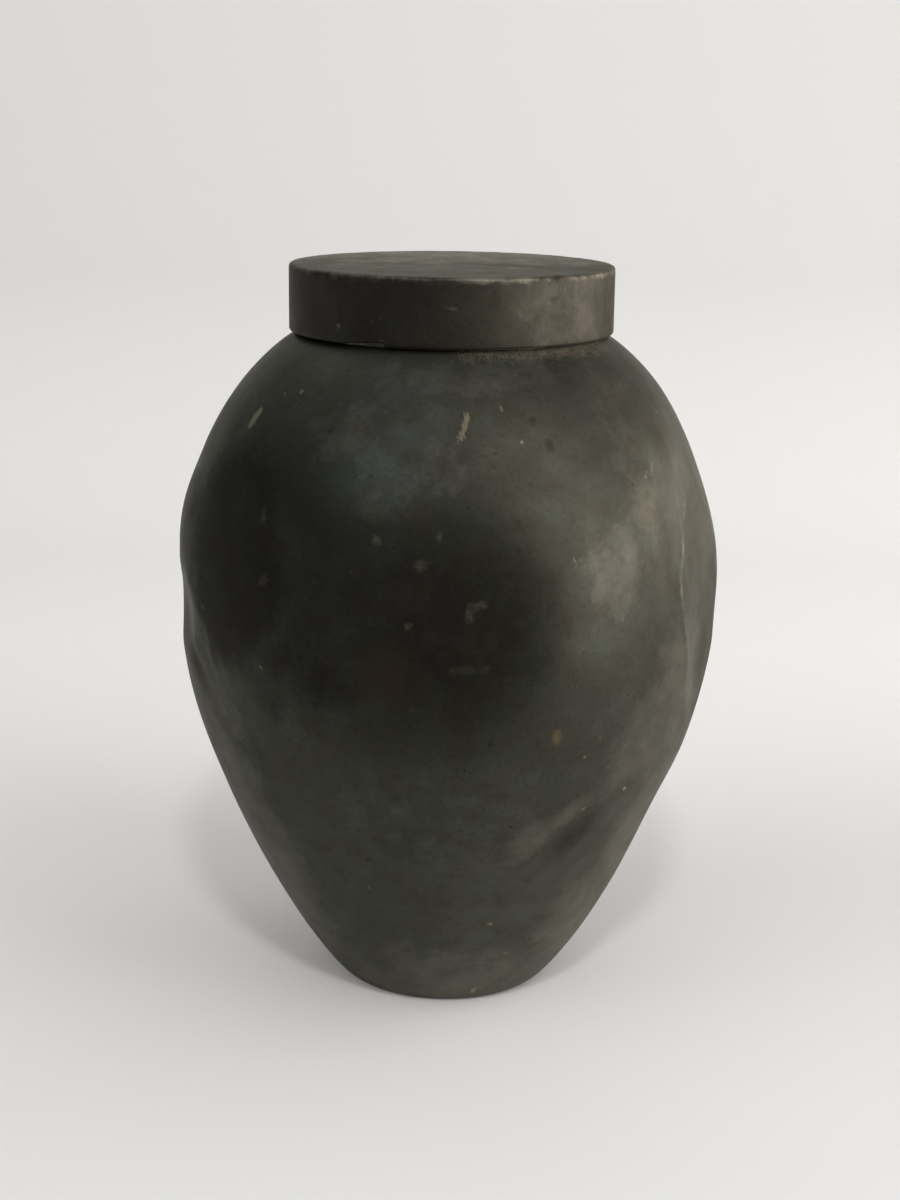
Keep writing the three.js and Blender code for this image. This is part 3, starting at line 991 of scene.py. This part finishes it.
def inner_lid(tin):
    """Flange and plug of the inner lid."""
    edge = FLANGE_EDGE
    rows = np.vstack([
        [(SPIGOT_HOLE, FLANGE_BOTTOM), (FLANGE_RADIUS, FLANGE_BOTTOM)],
        arc(FLANGE_RADIUS - edge, FLANGE_TOP - edge, edge, 0, 90),
        [(SPIGOT_HOLE, FLANGE_TOP)],
    ])
    flange = turned("inner_lid_flange", rows, tin, around=AROUND_SMALL)
    finish_piece(flange, "inner_lid", "inner_lid_plate")
    end = PLUG_RADIUS - PLUG_TAPER
    rows = [
        (end - PLUG_WALL, PLUG_BOTTOM),
        (end, PLUG_BOTTOM),
        (PLUG_RADIUS, FLANGE_BOTTOM),
        (PLUG_RADIUS - PLUG_WALL, FLANGE_BOTTOM),
    ]
    plug = turned("inner_lid_plug", rows, tin, around=AROUND_SMALL)
    finish_piece(plug, "inner_lid", "inner_lid_skirt")


def knob(tin):
    """Turned knob of the inner lid: a foot, a waist and a domed head, on a riveted spigot."""
    foot_top = FLANGE_TOP + KNOB_FOOT_THICKNESS
    rise = (KNOB_TOP - foot_top) * KNOB_DOME_SHARE
    widest = KNOB_TOP - rise
    share = np.linspace(0, 1, KNOB_STEPS + 1)
    ease = (1 + np.cos(share * math.pi)) / 2
    foot = np.column_stack([
        KNOB_WAIST + (KNOB_FOOT - KNOB_WAIST) * ease,
        foot_top - KNOB_FOOT_THICKNESS / 2 * (1 - share),
    ])
    flare = np.column_stack([
        KNOB_RADIUS - (KNOB_RADIUS - KNOB_WAIST) * ease,
        widest - rise * KNOB_FLARE_SHARE * (1 - share),
    ])
    head = arc(0, 0, 1, 0, 90, 12)[1:] * (KNOB_RADIUS, rise) + (0, widest)
    head[-1, 0] = 0
    spigot = [(0, KNOB_BOTTOM), (SPIGOT_RADIUS, KNOB_BOTTOM), (SPIGOT_RADIUS, FLANGE_TOP)]
    rows = np.vstack([spigot, [(KNOB_FOOT, FLANGE_TOP)], foot, flare, head])
    piece = turned("knob", rows, tin, around=AROUND_COARSE, closed=False)
    finish_piece(piece, "inner_lid", "inner_lid_knob")


def crust(material):
    """Grains of mineral crust on the shoulder, close under the front right edge of the lid."""
    turn = np.radians(np.arange(CRUST_FROM, CRUST_TO, CRUST_STEP))
    rows = curve_above(FINE_STEP)
    rows = rows[rows[:, 1] > CRUST_LOW]
    points = [(r * math.sin(a), -r * math.cos(a), z) for r, z in rows for a in turn]
    count = len(turn)
    faces = [
        (i * count + j, i * count + j + 1, (i + 1) * count + j + 1, (i + 1) * count + j)
        for i in range(len(rows) - 1)
        for j in range(count - 1)
    ]
    strip = linked("strip", bare_mesh("strip", points, faces))
    values = {
        "Grains per square metre": CRUST_GRAINS_PER_MM2 / MM**2, "Grain radius": CRUST_GRAIN,
        "Seed": CRUST_SEED, "Material": material,
    }
    piece = grown(strip, crust_tree(), values, "crust")
    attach(piece, "jar")


def cap(outside_tin, inside_tin):
    """Band and top disc of the cap lid, turned flush with each other, with a worn edge and a
    painted highlight on the edge and the top.
    """
    bore = LID_RADIUS - LID_WALL
    foot, edge = LID_FOOT_EDGE, LID_EDGE
    rows = np.vstack([
        [(bore, LID_BOTTOM)],
        arc(LID_RADIUS - foot, LID_BOTTOM + foot, foot, -90, 0, 4),
        straight((LID_RADIUS, LID_BOTTOM + foot), (LID_RADIUS, LID_SEAM), BAND_STEPS)[1:],
        [(bore, LID_SEAM)],
    ])
    band = turned("cap_band", rows, outside_tin, inside_tin, len(rows) - 1)
    notch_foot(band)
    write_marks(band, LID_MARKS, LID_RADIUS)
    finish_piece(band, "lid", "lid_skirt")
    rows = np.vstack([
        [(0, LID_SEAM), (LID_RADIUS, LID_SEAM)],
        arc(LID_RADIUS - edge, LID_TOP - edge, edge, 0, 90),
        straight((LID_RADIUS - edge, LID_TOP), (0, LID_TOP), LID_TOP_STEPS)[1:],
    ])
    top = turned("cap_top", rows, outside_tin, closed=False)
    write_marks(top, LID_MARKS, LID_RADIUS)
    wear_edge(top)
    finish_piece(top, "lid", "lid_top")


def move(piece, radius, height):
    """Moves the points of a piece to other radii and heights, in mm, each at its own azimuth."""
    azimuth, _, _ = places(piece)
    turn = np.radians(azimuth)
    co = np.column_stack([radius * np.sin(turn), -radius * np.cos(turn), height]) * MM
    piece.data.vertices.foreach_set("co", co.ravel())
    piece.data.update()


def notch_foot(band):
    """The lower edge of the band has lost a long sliver, which ends in a sharp step."""
    azimuth, radius, height = places(band)
    share = np.clip((azimuth - NOTCH_FROM) / (NOTCH_TO - NOTCH_FROM), 0, 1) * (azimuth < NOTCH_TO)
    fade = np.clip(1 - (height - LID_BOTTOM / MM) / (NOTCH_REACH / MM), 0, 1)
    move(band, radius, height + share**0.6 * fade * NOTCH_RISE / MM)


def wear_edge(top):
    """Waves and dings where the edge of the lid has been knocked, worn bright, with a painted
    highlight in the middle of the edge and over the back of the top.
    """
    azimuth, radius, height = places(top)
    corner = np.hypot(radius - LID_RADIUS / MM, height - LID_TOP / MM)
    near = np.clip(1 - corner / (EDGE_REACH / MM), 0, 1)
    around = np.radians(azimuth) * LID_RADIUS / EDGE_WAVE_LENGTH
    waves = np.array([noise.noise((a, 0, 0)) for a in around]) * 0.5 + 0.5
    push = waves * EDGE_WAVES / MM
    for turn, width, depth in DINGS:
        away = np.radians(azimuth - turn) * LID_RADIUS / MM / width
        push += depth * np.exp(-(away**2))
    move(top, radius - push * near, height - push * near)
    patches = np.array([noise.noise((a, 5, 0)) for a in around / WEAR_PATCHES]) + 0.5
    # A painted highlight on the front right of the edge.
    middle = np.exp(-(((azimuth - PAINTED_HIGHLIGHT_AZIMUTH) / PAINTED_HIGHLIGHT_REACH) ** 2))
    edge = EDGE_WORN + EDGE_WORN_PATCHES * patches
    edge = near * (edge + EDGE_PAINTED_HIGHLIGHT * middle + EDGE_WORN_WAVES * waves)
    # The top, painted brighter towards the back: a painted highlight.
    back = -np.cos(np.radians(azimuth)) * radius / (LID_RADIUS / MM)
    on_top = height > (LID_TOP - TOP_REACH) / MM
    flat = np.where(on_top, TOP_WORN + TOP_PAINTED_HIGHLIGHT_BACK * back, 0)
    put_attribute(top, "wear_and_highlight", np.maximum(edge, flat))


# Stage: a sheet of pale paper that rises behind the jar, in a dark room, a camera and soft lights


def paper_sheet(paper):
    """The sheet that the jar stands on. Its floor ends a little in front of the jar, as on a
    table."""
    bend = arc(SHEET_BACK - SHEET_BEND, SHEET_BEND, SHEET_BEND, -90, 0, 19)
    rows = np.vstack([[(SHEET_FRONT, 0)], bend, [(SHEET_BACK, SHEET_HEIGHT)]])
    half = SHEET_WIDTH / 2
    points = [(x, y, z) for y, z in rows for x in (-half, half)]
    faces = [(2 * i, 2 * i + 1, 2 * i + 3, 2 * i + 2) for i in range(len(rows) - 1)]
    piece = smooth(bare_mesh("paper_sheet", points, faces), "paper_sheet")
    piece.data.materials.append(paper)
    return piece


def surround(paper):
    """The same paper all round for the camera only, so that the sheet has no edges in a picture
    while the jar still reflects a dark room in front."""
    middle = SURROUND_RADIUS - SURROUND_BEND
    floor = straight((0, 0), (middle, 0), 9)
    bend = arc(middle, SURROUND_BEND, SURROUND_BEND, -90, 0, 13)
    roof = [(SURROUND_RADIUS, SURROUND_HEIGHT), (0, SURROUND_HEIGHT)]
    rows = np.vstack([floor, bend[1:], roof]) - (0, SURROUND_DROP)
    piece = turned("surround", rows[::-1], paper, around=AROUND_COARSE, closed=False)
    piece.visible_diffuse = piece.visible_glossy = piece.visible_transmission = False
    piece.visible_volume_scatter = piece.visible_shadow = False
    return piece


def camera():
    """The camera that took the photograph, as fitted to the outline of the jar."""
    data = bpy.data.cameras.new("camera")
    data.sensor_width = SENSOR
    data.lens = FOCAL_LENGTH_PX / PICTURE_HEIGHT_PX * SENSOR
    data.clip_end = 20
    piece = linked("camera", data)
    pitch = Euler((math.pi / 2 - CAMERA_PITCH, 0, 0)).to_matrix()
    turn = pitch @ Matrix.Rotation(CAMERA_ROLL, 3, "Z")
    piece.matrix_world = Matrix.Translation(CAMERA_AT) @ turn.to_4x4()
    bpy.context.scene.camera = piece


def light_only(lights, pieces, name):
    """Lights that reach only some of the pieces, so that the jar and the paper are lit apart."""
    lit = bpy.data.collections.new(name)
    for piece in pieces:
        lit.objects.link(piece)
    for light in lights:
        soft_light(*light).light_linking.receiver_collection = lit


def soft_light(name, azimuth, elevation, size, watts, colour):
    """A square soft light that faces the jar."""
    data = bpy.data.lights.new(name, "AREA")
    data.size = size
    data.energy = watts
    data.color = srgb(colour)[:3]
    piece = linked(name, data)
    turn, rise = math.radians(azimuth), math.radians(elevation)
    level = math.cos(rise)
    away = Vector((math.sin(turn) * level, -math.cos(turn) * level, math.sin(rise)))
    place = Matrix.Translation(Vector((0, 0, GIRTH)) + away * LIGHT_DISTANCE)
    piece.matrix_world = place @ away.to_track_quat("Z", "Y").to_matrix().to_4x4()
    piece.visible_camera = False
    return piece


def world():
    """The faint even light of the room."""
    made = bpy.data.worlds.new("room")
    made.use_nodes = True
    background = made.node_tree.nodes["Background"].inputs
    background["Color"].default_value = srgb("#ffffff")
    background["Strength"].default_value = ROOM_LIGHT
    bpy.context.scene.world = made


body_tin = patinated_tin("patinated_tin", "#3a3d36", "#474a43", "#38322b", 0.4)
cap_tin = patinated_tin("patinated_lid_tin", "#383731", "#48463e", "#35302a", 0.46)
dull_tin = turned_tin("oxidised_inside_tin", "#6d6b66", "#57544e", 0.5)
neck_tin = turned_tin("rubbed_neck_tin", "#9a9892", "#7d7a73", 0.35)
clean_tin = turned_tin("inner_lid_tin", "#b3b1ab", "#94918a", 0.3)

DENT_GROUP = dent_group()
body_lower(body_tin, dull_tin)
body_upper(body_tin, dull_tin)
floor_disc(dull_tin)
neck(neck_tin)
inner_lid(clean_tin)
knob(clean_tin)
cap(cap_tin, dull_tin)
crust(mineral_crust())

paper = floor_paper()
papers = [paper_sheet(paper), surround(paper)]
camera()
world()
jar = [piece for piece in bpy.data.objects if piece.type == "MESH" and piece not in papers]
light_only(JAR_LIGHTS, jar, "jar_lit")
light_only(PAPER_LIGHTS, papers, "paper_lit")
bpy.context.scene.view_settings.view_transform = "Standard"
